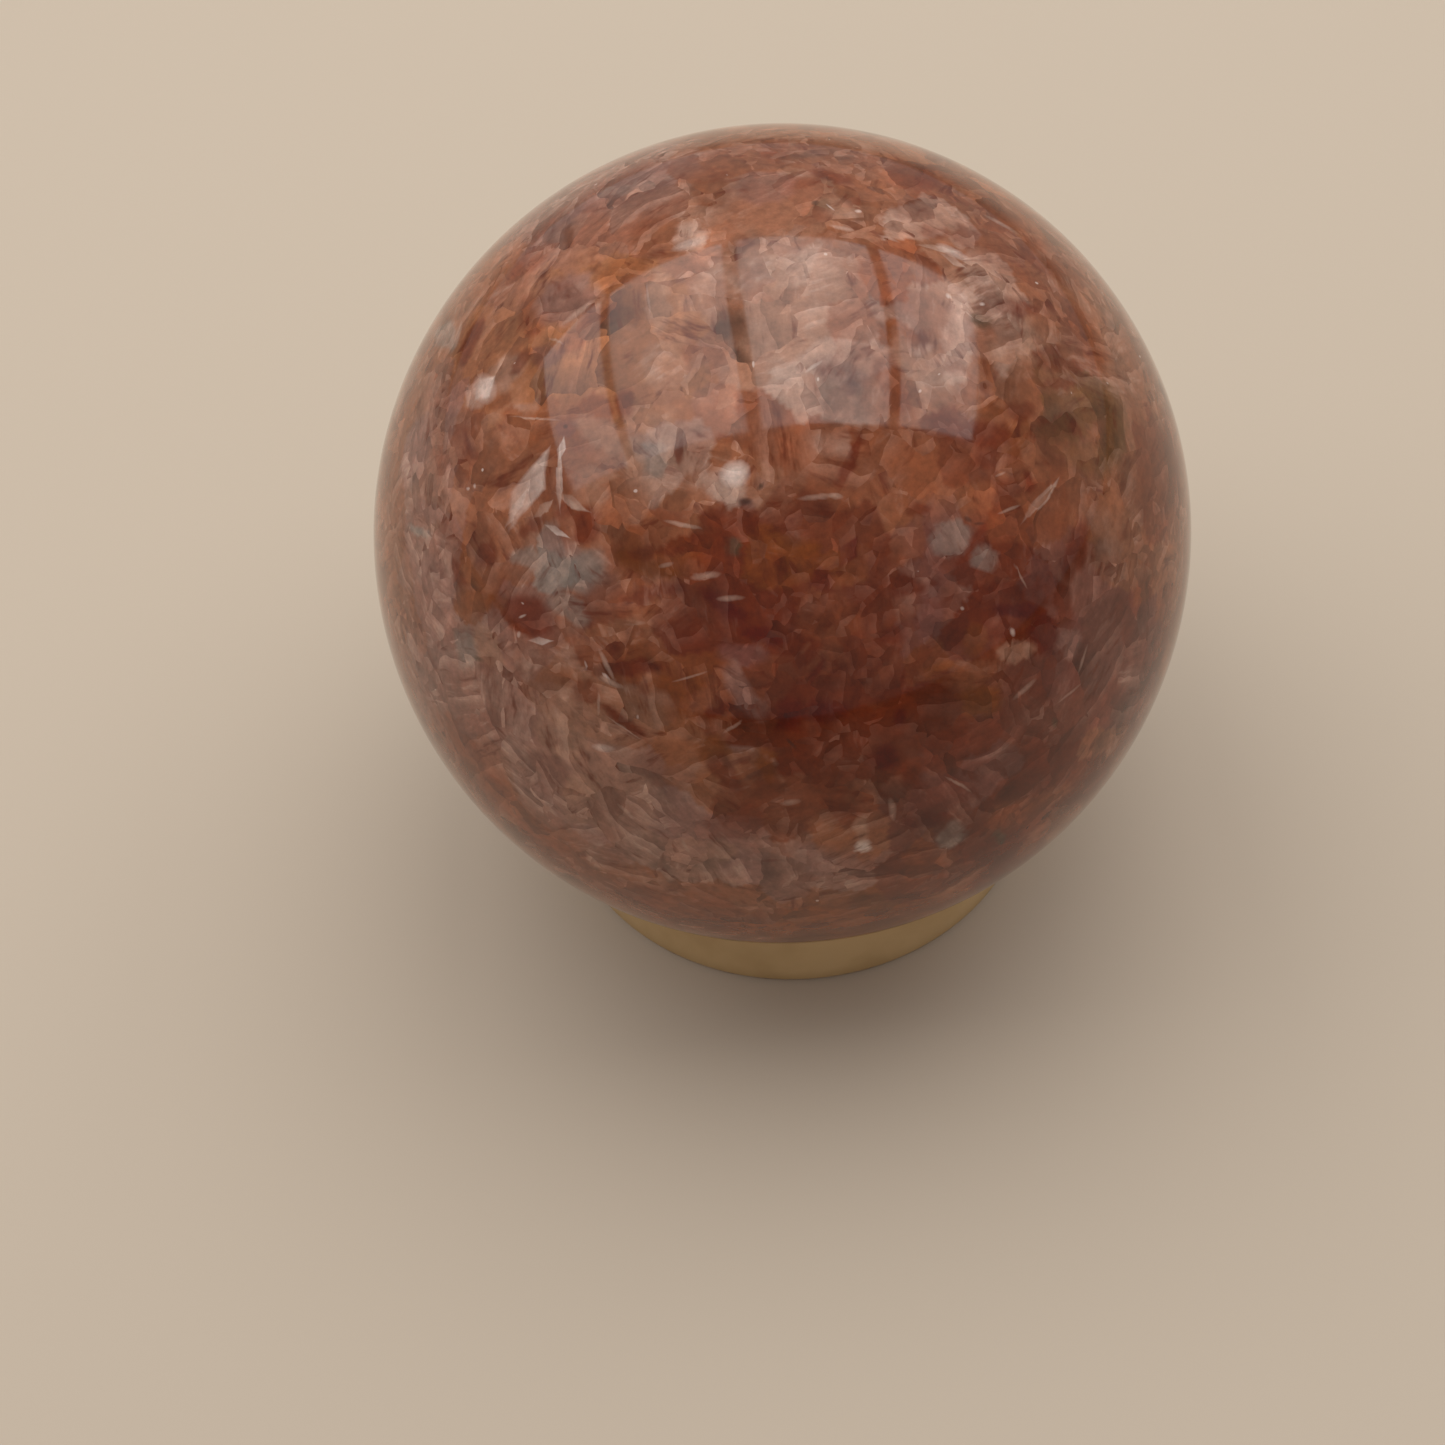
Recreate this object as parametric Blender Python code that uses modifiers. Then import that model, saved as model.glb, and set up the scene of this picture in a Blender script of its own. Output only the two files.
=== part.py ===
"""A polished sunstone sphere resting on a low ring stand.

The stone is one solid ball, ground and polished round. The stand is a turned
ring with a hollow seat: the ball sits in it by its weight and lifts out.
Metres, +Z up. The origin is the middle of the ring's flat underside.
"""

import math

import bpy

# Driving dimensions of the stone
SPHERE_RADIUS = 0.0300
SPHERE_SEGMENTS = 72
SPHERE_RINGS = 36
SPHERE_LIFT = 0.00045

# Driving dimensions of the ring stand
RING_BASE_RADIUS = 0.0200
RING_WALL_TOP_RADIUS = 0.0194
RING_BORE_RADIUS = 0.0138
RING_HEIGHT = 0.0056
BASE_ROUND = 0.0005
CREST_ROUND = 0.0014
BORE_ROUND = 0.0004
LIP_ROUND = 0.0003
RING_STEPS = 72

# How many flats each rounded edge of the ring, and its seat, is drawn with
SHOULDER_FLATS = 7
BASE_FLATS = 4
BORE_FLATS = 3
SEAT_FLATS = 5

# The air left between the ball and the seat that it rests on
SEAT_GAP = 0.0003

# Colour and gloss of the two materials
STONE_COLOUR = (0.62, 0.25, 0.15)
STONE_ROUGHNESS = 0.16
STONE_POLISH = 1.0
RING_COLOUR = (0.72, 0.60, 0.42)
RING_ROUGHNESS = 0.38

SPHERE_CENTRE_HEIGHT = SPHERE_RADIUS + SPHERE_LIFT
MERGE_DISTANCE = 0.00001
QUARTER = math.pi / 2


def clear_scene():
    """Remove every object that the file opened with."""
    for item in list(bpy.data.objects):
        bpy.data.objects.remove(item, do_unlink=True)


def new_collection(name):
    """Make a collection for the object's pieces."""
    collection = bpy.data.collections.new(name)
    bpy.context.scene.collection.children.link(collection)
    return collection


def principled(name, colour, roughness, coat=0.0):
    """Make a plain material with the piece's colour and gloss."""
    material = bpy.data.materials.new(name)
    material.use_nodes = True
    shader = material.node_tree.nodes["Principled BSDF"]
    shader.inputs["Base Color"].default_value = (*colour, 1.0)
    shader.inputs["Roughness"].default_value = roughness
    shader.inputs["Metallic"].default_value = 0.0
    shader.inputs["Coat Weight"].default_value = coat
    return material


def arc(centre, radius, start, end, steps):
    """Points on a circle in the profile's plane, from one angle to another."""
    points = []
    for step in range(steps + 1):
        angle = start + (end - start) * step / steps
        points.append((centre[0] + radius * math.cos(angle), centre[1] + radius * math.sin(angle)))
    return points


def seat_height(radius):
    """Height of the seat under the ball, at a distance from the axis."""
    seat_radius = SPHERE_RADIUS + SEAT_GAP
    return SPHERE_CENTRE_HEIGHT - math.sqrt(seat_radius**2 - radius**2)


def seat_radius_at(height):
    """Distance from the axis at which the seat has this height."""
    seat_radius = SPHERE_RADIUS + SEAT_GAP
    return math.sqrt(seat_radius**2 - (SPHERE_CENTRE_HEIGHT - height) ** 2)


def ring_profile():
    """Outline of the ring's wall, as (radius, height), down its outer side and up its bore.

    It starts on the flat land at the top, goes over the soft outer shoulder,
    down the slightly flared wall, across the flat underside, up the bore, and
    back out over the seat, which has the ball's own curve.
    """
    land_inner = seat_radius_at(RING_HEIGHT - LIP_ROUND) + LIP_ROUND
    shoulder_centre = (RING_WALL_TOP_RADIUS - CREST_ROUND, RING_HEIGHT - CREST_ROUND)
    flare = math.atan2(RING_BASE_RADIUS - RING_WALL_TOP_RADIUS, RING_HEIGHT - CREST_ROUND)
    base_centre = (RING_BASE_RADIUS - BASE_ROUND, BASE_ROUND)
    bore_centre = (RING_BORE_RADIUS + BORE_ROUND, BORE_ROUND)

    outline = [(land_inner, RING_HEIGHT)]
    outline += arc(shoulder_centre, CREST_ROUND, QUARTER, flare, SHOULDER_FLATS)
    outline += arc(base_centre, BASE_ROUND, flare, -QUARTER, BASE_FLATS)
    outline += arc(bore_centre, BORE_ROUND, -QUARTER, -2 * QUARTER, BORE_FLATS)

    seat_inner = RING_BORE_RADIUS + LIP_ROUND
    seat_outer = seat_radius_at(RING_HEIGHT - LIP_ROUND)
    outline.append((RING_BORE_RADIUS, seat_height(seat_inner) - LIP_ROUND))
    for step in range(SEAT_FLATS + 1):
        radius = seat_inner + (seat_outer - seat_inner) * step / SEAT_FLATS
        outline.append((radius, seat_height(radius)))
    return outline


def build_ring(collection, material):
    """Turn the ring's outline about the upright axis."""
    outline = ring_profile()
    mesh = bpy.data.meshes.new("ring_stand")
    count = len(outline)
    vertices = [(radius, 0.0, height) for radius, height in outline]
    edges = [(index, (index + 1) % count) for index in range(count)]
    mesh.from_pydata(vertices, edges, [])
    mesh.materials.append(material)
    ring = bpy.data.objects.new("ring_stand", mesh)
    collection.objects.link(ring)

    screw = ring.modifiers.new("Turned", "SCREW")
    screw.axis = "Z"
    screw.angle = 2 * math.pi
    screw.steps = RING_STEPS
    screw.render_steps = RING_STEPS
    screw.use_merge_vertices = True
    screw.merge_threshold = MERGE_DISTANCE
    screw.use_smooth_shade = True
    return ring


def build_sphere(collection, material):
    """The polished ball, standing in the ring's seat."""
    bpy.ops.mesh.primitive_uv_sphere_add(
        segments=SPHERE_SEGMENTS,
        ring_count=SPHERE_RINGS,
        radius=SPHERE_RADIUS,
        location=(0.0, 0.0, SPHERE_CENTRE_HEIGHT),
    )
    sphere = bpy.context.object
    sphere.name = "stone_sphere"
    sphere.data.name = "stone_sphere"
    sphere.data.materials.append(material)
    sphere.data.shade_smooth()
    for holder in list(sphere.users_collection):
        holder.objects.unlink(sphere)
    collection.objects.link(sphere)
    return sphere


def main():
    """Build the stone and its stand."""
    clear_scene()
    collection = new_collection("sunstone_sphere")
    stone = principled("polished_sunstone", STONE_COLOUR, STONE_ROUGHNESS, STONE_POLISH)
    cream = principled("cream_plastic", RING_COLOUR, RING_ROUGHNESS)
    build_ring(collection, cream)
    build_sphere(collection, stone)


main()
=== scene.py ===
import math
import random

import bpy
import numpy as np
from mathutils import Matrix, Quaternion, Vector, noise


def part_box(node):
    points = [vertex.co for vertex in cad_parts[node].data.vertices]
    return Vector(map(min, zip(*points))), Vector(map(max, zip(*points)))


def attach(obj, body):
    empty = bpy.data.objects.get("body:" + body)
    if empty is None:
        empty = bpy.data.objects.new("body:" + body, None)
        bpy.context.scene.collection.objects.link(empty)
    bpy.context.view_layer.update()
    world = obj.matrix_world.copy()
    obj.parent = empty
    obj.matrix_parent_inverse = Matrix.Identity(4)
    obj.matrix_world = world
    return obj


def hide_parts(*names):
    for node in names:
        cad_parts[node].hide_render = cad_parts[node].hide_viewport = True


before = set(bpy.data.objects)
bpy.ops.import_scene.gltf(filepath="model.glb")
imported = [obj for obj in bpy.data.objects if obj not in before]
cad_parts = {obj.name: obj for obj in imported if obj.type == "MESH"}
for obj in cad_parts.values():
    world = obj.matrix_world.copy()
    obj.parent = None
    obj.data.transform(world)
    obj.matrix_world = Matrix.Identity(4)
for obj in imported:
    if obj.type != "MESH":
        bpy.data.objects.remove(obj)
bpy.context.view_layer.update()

# Camera.
# It looks down on the ball at the photograph's angle, with the photograph's slight tilt
# and a moderate lens. The picture is a square of 1445 pixels.
PHOTO_SIZE = 1445
FOCAL_PIXELS = 2000
SENSOR_MM = 36.0
CAMERA_PLACE = Vector((-0.0057, -0.1029, 0.1400))
CAMERA_PITCH = math.radians(51.78)
CAMERA_ROLL = math.radians(-6.0)

camera_data = bpy.data.cameras.new("photo_camera")
camera_data.sensor_width = SENSOR_MM
camera_data.lens = FOCAL_PIXELS / PHOTO_SIZE * SENSOR_MM
camera_data.clip_start = 0.005
camera = bpy.data.objects.new("photo_camera", camera_data)
bpy.context.scene.collection.objects.link(camera)
camera.matrix_world = (
    Matrix.Translation(CAMERA_PLACE)
    @ Matrix.Rotation(math.pi / 2 - CAMERA_PITCH, 4, "X")
    @ Matrix.Rotation(CAMERA_ROLL, 4, "Z")
)
bpy.context.scene.camera = camera

# Floor and light.
# A plain pale floor, and the soft daylight of a glazed roof: four panes side by side
# overhead, with dark rafters between them, and a dim pale room around.
FLOOR_HALF = 3.0
FLOOR_COLOUR = (0.56, 0.47, 0.37, 1.0)
ROOF_HEIGHT = 0.45
PANE_WIDTH = 0.60 * ROOF_HEIGHT
PANE_LENGTH = 1.14 * ROOF_HEIGHT
PANE_PITCH = 0.665 * ROOF_HEIGHT
PANE_MIDDLES = (-1.5, -0.5, 0.5, 1.5)
ROOF_MIDDLE = Vector((-0.10 * ROOF_HEIGHT, 0.305 * ROOF_HEIGHT, 0.0))
PANE_RADIANCE = 2.05
ROOM_COLOUR = (0.84, 0.80, 0.78, 1.0)
ROOM_STRENGTH = 0.43

bpy.ops.mesh.primitive_plane_add(size=2 * FLOOR_HALF, location=(0, 0, 0))
floor = bpy.context.object
floor.name = "pale_floor"
floor_material = bpy.data.materials.new("pale_floor")
floor_material.use_nodes = True
floor_shader = floor_material.node_tree.nodes["Principled BSDF"]
floor_shader.inputs["Base Color"].default_value = FLOOR_COLOUR
floor_shader.inputs["Roughness"].default_value = 0.9
floor_shader.inputs["Specular IOR Level"].default_value = 0.2
floor.data.materials.append(floor_material)

ball_low, ball_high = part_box("stone_sphere")
ball_middle = (ball_low + ball_high) / 2
ball_radius = (ball_high.z - ball_low.z) / 2

for index, pane_middle in enumerate(PANE_MIDDLES):
    pane_data = bpy.data.lights.new(f"roof_pane_{index + 1}", "AREA")
    pane_data.shape = "RECTANGLE"
    pane_data.size = PANE_WIDTH
    pane_data.size_y = PANE_LENGTH
    pane_data.energy = PANE_RADIANCE * math.pi * PANE_WIDTH * PANE_LENGTH
    pane = bpy.data.objects.new(pane_data.name, pane_data)
    pane.location = ball_middle + ROOF_MIDDLE + Vector((pane_middle * PANE_PITCH, 0, ROOF_HEIGHT))
    bpy.context.scene.collection.objects.link(pane)

world = bpy.data.worlds.new("dim_room")
world.use_nodes = True
world.node_tree.nodes["Background"].inputs["Color"].default_value = ROOM_COLOUR
world.node_tree.nodes["Background"].inputs["Strength"].default_value = ROOM_STRENGTH
bpy.context.scene.world = world
bpy.context.scene.view_settings.view_transform = "Standard"

# Stone.
# The ball is one piece of sunstone: salmon, orange and lilac feldspar grown together as
# angular cleaved grains, with white feathers and dark specks between them. It is ground
# round, polished by hand on a lap, and only rests in the ring.
LAP_WAVE = 0.016
LAP_DEPTH = 0.00005
BALL_IOR = 1.40
BALL_ROUGHNESS = (0.045, 0.085)
GLOW_WEIGHT = 0.15
GLOW_DEPTH = (1.0, 0.35, 0.2)
GLOW_SCALE = 0.003

STONE_COLOURS = {
    # white is mostly the colour of the painted glints and the painted highlights of cleaved faces
    "white": (0.66, 0.50, 0.43),
    "feather": (0.46, 0.29, 0.22),
    "pale": (0.36, 0.18, 0.113),
    "apricot": (0.37, 0.137, 0.05),
    "peach": (0.30, 0.119, 0.064),
    "salmon": (0.255, 0.084, 0.036),
    "orange": (0.22, 0.055, 0.018),
    "amber": (0.185, 0.042, 0.005),
    "rust": (0.132, 0.017, 0.002),
    "garnet": (0.092, 0.005, 0.001),
    "lilac": (0.25, 0.118, 0.09),
    "mauve": (0.165, 0.055, 0.04),
    "plum": (0.13, 0.03, 0.018),
    "ash": (0.225, 0.17, 0.14),
    "olive": (0.145, 0.058, 0.018),
    "moss": (0.07, 0.045, 0.022),
    "ink": (0.02, 0.012, 0.008),
}

# Broad soft areas of one colour: colour, middle x and y, length, width, angle in degrees
# up from level, and how strong, all in pixels of the picture.
STONE_AREAS = [
    ("salmon", 780, 150, 620, 110, 0, 0.7),
    ("lilac", 590, 190, 230, 70, 32, 0.7),
    ("peach", 620, 280, 300, 220, 30, 0.8),
    ("salmon", 860, 215, 330, 80, -10, 0.6),
    ("peach", 740, 350, 300, 200, 0, 0.7),
    ("pale", 800, 320, 170, 190, 0, 0.7),
    ("orange", 885, 300, 110, 130, 0, 0.6),
    ("pale", 955, 320, 90, 170, 0, 0.7),
    ("pale", 1015, 345, 90, 80, 0, 0.6),
    ("salmon", 1065, 290, 120, 170, -55, 0.7),
    ("salmon", 475, 450, 130, 170, 0, 0.7),
    ("lilac", 425, 520, 70, 330, 0, 0.7),
    ("lilac", 470, 690, 140, 190, 50, 0.7),
    ("orange", 560, 420, 120, 60, 0, 0.7),
    ("peach", 650, 450, 170, 120, 0, 0.6),
    ("salmon", 790, 430, 150, 90, 0, 0.6),
    ("orange", 860, 450, 200, 120, 0, 0.6),
    ("rust", 980, 450, 110, 90, 0, 0.6),
    ("olive", 1090, 420, 90, 140, 15, 0.8),
    ("orange", 1040, 520, 150, 110, 0, 0.7),
    ("ash", 565, 575, 100, 70, -20, 0.95),
    ("orange", 660, 560, 190, 110, 0, 0.8),
    ("orange", 540, 620, 120, 90, 0, 0.6),
    ("salmon", 560, 680, 140, 90, -30, 0.6),
    ("orange", 650, 680, 170, 90, 0, 0.7),
    ("rust", 800, 560, 260, 150, 0, 0.7),
    ("rust", 780, 640, 300, 110, 0, 0.6),
    ("rust", 840, 735, 300, 130, 0, 0.9),
    ("rust", 900, 610, 140, 130, 0, 0.5),
    ("mauve", 955, 560, 110, 110, 0, 0.7),
    ("mauve", 930, 650, 90, 130, 0, 0.5),
    ("rust", 1040, 620, 110, 150, 30, 0.9),
    ("salmon", 1120, 520, 90, 230, 0, 0.7),
    ("mauve", 1120, 650, 110, 220, 20, 0.8),
    ("plum", 1020, 740, 220, 140, 40, 0.8),
    ("mauve", 960, 790, 130, 60, 30, 0.6),
    ("lilac", 600, 800, 260, 130, -30, 0.9),
    ("lilac", 690, 850, 200, 90, -10, 0.9),
    ("lilac", 810, 870, 200, 60, 0, 0.7),
    ("rust", 800, 810, 180, 60, 0, 0.6),
    ("plum", 925, 820, 110, 90, 20, 0.8),
    ("rust", 1010, 830, 170, 70, 40, 0.7),
    # These four narrow bands follow the lower rim of the ball: painted shade, deeper orange where the ball
    # turns down away from the light
    ("orange", 470, 770, 130, 24, -55, 0.9),
    ("orange", 555, 850, 150, 34, -36, 0.9),
    ("orange", 690, 915, 200, 40, -14, 0.9),
    ("amber", 850, 930, 230, 44, 8, 0.9),
    ("pale", 740, 200, 260, 60, 0, 0.35),
    ("feather", 920, 215, 100, 60, 0, 0.45),
    ("apricot", 600, 320, 220, 150, 20, 0.6),
    ("apricot", 660, 385, 120, 60, 10, 0.5),
    ("feather", 1000, 305, 80, 110, 0, 0.4),
    ("apricot", 500, 360, 110, 130, 40, 0.4),
    ("feather", 680, 455, 90, 80, 0, 0.45),
    ("feather", 830, 400, 110, 90, 0, 0.35),
    ("pale", 430, 460, 70, 120, 0, 0.3),
    ("lilac", 520, 620, 90, 80, 0, 0.6),
    ("pale", 600, 700, 110, 80, 0, 0.5),
    ("pale", 600, 790, 150, 90, -30, 0.45),
    ("pale", 680, 860, 120, 60, -15, 0.45),
    ("rust", 760, 545, 120, 100, 0, 0.6),
    ("rust", 740, 620, 170, 90, 0, 0.7),
    ("rust", 1000, 545, 110, 90, 0, 0.6),
    ("rust", 1000, 625, 110, 100, 0, 0.7),
    ("rust", 1160, 480, 60, 160, 0, 0.6),
    ("rust", 1150, 620, 60, 120, 0, 0.5),
    ("rust", 920, 700, 120, 90, 0, 0.5),
    ("rust", 1075, 780, 80, 90, 40, 0.8),
    ("rust", 930, 870, 120, 60, 20, 0.7),
    ("rust", 1010, 860, 100, 50, 35, 0.9),
    ("amber", 790, 565, 130, 80, 0, 0.6),
    ("amber", 660, 562, 120, 50, 8, 0.5),
    ("orange", 760, 430, 110, 60, 0, 0.5),
    ("amber", 1000, 430, 80, 60, 0, 0.5),
    ("amber", 660, 672, 110, 50, 0, 0.5),
    ("rust", 770, 618, 120, 60, 0, 0.6),
    ("rust", 1000, 640, 90, 120, 0, 0.6),
    ("rust", 930, 720, 170, 90, 0, 0.5),
    ("rust", 830, 735, 120, 60, 0, 0.5),
    ("amber", 942, 664, 60, 34, 0, 0.5),
    ("orange", 930, 852, 70, 22, 15, 0.9),
    ("feather", 850, 370, 90, 50, 20, 0.35),
    ("feather", 890, 315, 60, 50, 0, 0.4),
    ("feather", 640, 190, 90, 40, 20, 0.3),
    ("salmon", 650, 430, 60, 40, 0, 0.4),
    ("orange", 765, 430, 70, 50, 0, 0.4),
    ("rust", 600, 615, 60, 40, 0, 0.5),
    ("rust", 970, 550, 60, 50, 0, 0.5),
    ("rust", 840, 735, 130, 60, 0, 0.5),
    ("rust", 1130, 730, 50, 60, 30, 0.5),
]

# Single grains, with straight cleaved sides, in the same words and order.
STONE_GRAINS = [
    ("amber", 568, 237, 17, 19, 0, 0.7),
    ("amber", 658, 236, 50, 40, 10, 0.45),
    ("feather", 690, 236, 34, 26, 30, 0.6),
    ("rust", 605, 203, 46, 10, 15, 0.5),
    ("amber", 625, 292, 46, 66, 0, 0.5),
    ("pale", 657, 300, 20, 58, 0, 0.6),
    ("orange", 528, 262, 52, 15, 42, 0.6),
    ("orange", 531, 314, 30, 40, 0, 0.7),
    ("lilac", 566, 298, 60, 46, 25, 0.8),
    ("rust", 588, 328, 78, 22, 40, 0.45),
    ("rust", 470, 342, 46, 13, 66, 0.7),
    ("ash", 445, 335, 22, 26, 0, 0.6),
    ("pale", 505, 372, 44, 26, 40, 0.8),
    ("rust", 521, 362, 26, 10, 60, 0.6),
    ("mauve", 545, 356, 30, 22, 20, 0.6),
    ("orange", 690, 340, 14, 34, 0, 0.5),
    ("pale", 665, 366, 40, 46, 10, 0.4),
    ("orange", 776, 150, 32, 22, -10, 0.7),
    ("rust", 830, 175, 42, 13, -14, 0.6),
    ("orange", 800, 182, 28, 12, 0, 0.5),
    ("amber", 710, 192, 36, 26, 0, 0.6),
    ("lilac", 766, 186, 56, 30, 0, 0.5),
    ("pale", 838, 206, 44, 18, -5, 0.5),
    ("orange", 744, 246, 24, 14, 20, 0.8),
    ("pale", 748, 265, 66, 30, 5, 0.6),
    ("orange", 920, 256, 34, 12, -32, 0.5),
    ("rust", 938, 150, 26, 10, -20, 0.5),
    ("orange", 912, 182, 46, 14, -12, 0.5),
    ("rust", 936, 232, 28, 14, -10, 0.5),
    ("rust", 966, 236, 26, 16, -20, 0.5),
    ("feather", 806, 360, 78, 17, 33, 0.55),
    ("pale", 795, 348, 64, 12, 26, 0.5),
    ("mauve", 850, 388, 18, 16, 0, 0.5),
    ("lilac", 842, 372, 60, 26, -20, 0.5),
    ("rust", 892, 384, 26, 54, 20, 0.45),
    ("pale", 922, 366, 70, 30, -50, 0.6),
    ("salmon", 943, 396, 34, 22, -10, 0.6),
    ("amber", 885, 333, 14, 22, 15, 0.7),
    ("feather", 956, 345, 26, 60, 0, 0.4),
    ("amber", 985, 350, 26, 48, 0, 0.5),
    ("rust", 984, 432, 52, 28, -8, 0.8),
    ("rust", 948, 425, 30, 17, -20, 0.6),
    ("rust", 990, 456, 28, 30, 0, 0.6),
    ("pale", 1016, 340, 44, 46, -20, 0.8),
    ("rust", 1048, 349, 28, 12, 10, 0.5),
    ("rust", 1062, 364, 44, 13, 0, 0.5),
    ("rust", 1066, 382, 44, 9, 6, 0.5),
    ("orange", 1086, 335, 70, 28, -66, 0.6),
    ("rust", 1056, 262, 74, 26, -36, 0.4),
    ("rust", 1018, 309, 42, 18, -10, 0.6),
    ("rust", 1022, 411, 26, 20, 0, 0.6),
    ("olive", 1096, 398, 46, 36, -30, 0.7),
    ("olive", 1114, 438, 76, 24, 80, 0.8),
    ("olive", 1064, 426, 46, 30, 0, 0.6),
    ("olive", 1086, 458, 34, 26, 0, 0.5),
    ("rust", 586, 528, 22, 32, 10, 0.8),
    ("rust", 566, 512, 18, 18, 20, 0.6),
    ("rust", 531, 527, 34, 13, 48, 0.6),
    ("amber", 500, 402, 26, 15, 20, 0.6),
    ("pale", 526, 408, 24, 13, 10, 0.6),
    ("pale", 602, 434, 60, 24, -30, 0.5),
    ("pale", 634, 458, 22, 36, 5, 0.8),
    ("ash", 655, 458, 24, 34, -10, 0.7),
    ("rust", 624, 402, 16, 28, 0, 0.7),
    ("pale", 590, 496, 32, 26, -15, 0.6),
    ("ash", 570, 570, 62, 44, -8, 0.7),
    ("ash", 532, 560, 46, 16, -12, 0.6),
    ("ash", 566, 606, 44, 18, -35, 0.5),
    ("lilac", 560, 545, 38, 22, -20, 0.6),
    ("lilac", 414, 452, 66, 24, 78, 0.8),
    ("lilac", 438, 582, 56, 30, -55, 0.6),
    ("rust", 459, 574, 34, 12, -66, 0.7),
    ("rust", 486, 556, 26, 18, 40, 0.7),
    ("lilac", 432, 511, 26, 15, -15, 0.6),
    ("rust", 528, 618, 56, 34, -25, 0.8),
    ("amber", 478, 603, 56, 20, 0, 0.5),
    ("ash", 466, 648, 22, 40, 15, 0.7),
    ("pale", 487, 648, 46, 22, -72, 0.6),
    ("amber", 627, 560, 30, 16, 10, 0.9),
    ("amber", 656, 573, 52, 15, -6, 0.9),
    ("rust", 664, 548, 80, 14, 12, 0.6),
    ("garnet", 655, 594, 62, 10, 14, 0.5),
    ("rust", 634, 667, 58, 15, 0, 0.9),
    ("rust", 713, 518, 24, 19, -10, 0.7),
    ("rust", 742, 522, 30, 13, 0, 0.5),
    ("rust", 850, 462, 54, 13, 64, 0.85),
    ("amber", 792, 546, 46, 28, -20, 0.7),
    ("garnet", 822, 580, 28, 19, 15, 0.7),
    ("rust", 779, 568, 9, 20, 20, 0.7),
    ("orange", 830, 617, 56, 46, 0, 0.5),
    ("garnet", 722, 606, 52, 15, -36, 0.9),
    ("garnet", 762, 634, 44, 11, -14, 0.8),
    ("rust", 906, 586, 46, 17, -8, 0.9),
    ("rust", 890, 640, 24, 13, 20, 0.7),
    ("rust", 920, 509, 26, 15, -5, 0.7),
    ("mauve", 934, 540, 20, 32, 10, 0.6),
    ("mauve", 930, 615, 22, 60, -5, 0.7),
    ("rust", 808, 655, 34, 8, 45, 0.8),
    ("garnet", 819, 668, 30, 6, 68, 0.6),
    ("mauve", 742, 655, 56, 26, -8, 0.8),
    ("lilac", 742, 692, 62, 24, -52, 0.7),
    ("rust", 690, 636, 28, 15, -10, 0.6),
    ("amber", 672, 686, 70, 20, 6, 0.6),
    ("rust", 1031, 486, 13, 19, 0, 0.9),
    ("rust", 1010, 487, 22, 19, 30, 0.6),
    ("orange", 1030, 528, 70, 34, -6, 0.5),
    ("ash", 953, 537, 36, 28, 20, 0.5),
    ("ash", 985, 558, 26, 22, 0, 0.6),
    ("rust", 1077, 548, 64, 17, 76, 0.8),
    ("garnet", 1046, 636, 30, 42, 15, 0.8),
    ("rust", 1066, 606, 18, 42, 5, 0.7),
    ("garnet", 1015, 611, 42, 12, -8, 0.8),
    ("pale", 1016, 652, 34, 19, 15, 0.5),
    ("amber", 944, 668, 38, 13, 10, 0.9),
    ("amber", 976, 640, 22, 30, -20, 0.6),
    ("amber", 980, 702, 46, 28, 5, 0.9),
    ("plum", 1060, 682, 40, 44, 10, 0.7),
    ("lilac", 1070, 646, 20, 28, -10, 0.6),
    ("rust", 622, 722, 60, 14, -32, 0.9),
    ("rust", 584, 692, 30, 26, 0, 0.6),
    ("pale", 560, 740, 60, 34, -40, 0.5),
    ("pale", 580, 788, 40, 24, 10, 0.5),
    ("mauve", 550, 770, 40, 22, -20, 0.5),
    ("rust", 720, 710, 34, 13, 16, 0.9),
    ("amber", 713, 750, 32, 30, 10, 0.8),
    ("rust", 726, 776, 40, 18, -56, 0.8),
    ("lilac", 742, 748, 26, 11, 5, 0.7),
    ("amber", 768, 751, 28, 6, -4, 0.9),
    ("amber", 763, 771, 34, 11, -66, 0.9),
    ("pale", 776, 769, 28, 7, -76, 0.5),
    ("garnet", 790, 716, 28, 34, -10, 0.8),
    ("garnet", 826, 711, 42, 24, 0, 0.8),
    ("garnet", 885, 758, 31, 25, 20, 1.0),
    ("garnet", 901, 717, 14, 19, 0, 0.9),
    ("rust", 845, 815, 30, 24, -10, 0.6),
    ("rust", 738, 824, 52, 30, 10, 0.4),
    ("lilac", 815, 862, 44, 26, -20, 0.7),
    ("garnet", 926, 820, 44, 13, 12, 0.5),
    ("ash", 953, 836, 28, 22, 35, 0.7),
    ("orange", 933, 865, 56, 17, 20, 0.9),
    ("rust", 912, 776, 26, 17, -5, 0.8),
    ("rust", 943, 738, 34, 22, 20, 0.9),
    ("orange", 1012, 815, 46, 26, 20, 0.6),
    ("orange", 1056, 794, 38, 12, 26, 0.9),
    ("orange", 1032, 842, 52, 10, 48, 0.9),
    # These three grains lie along the same lower rim and carry the same painted shade as the rim bands
    ("orange", 458, 752, 42, 15, -60, 0.9),
    ("orange", 534, 838, 46, 14, -42, 0.9),
    ("orange", 577, 866, 36, 16, -28, 0.8),
]

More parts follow.
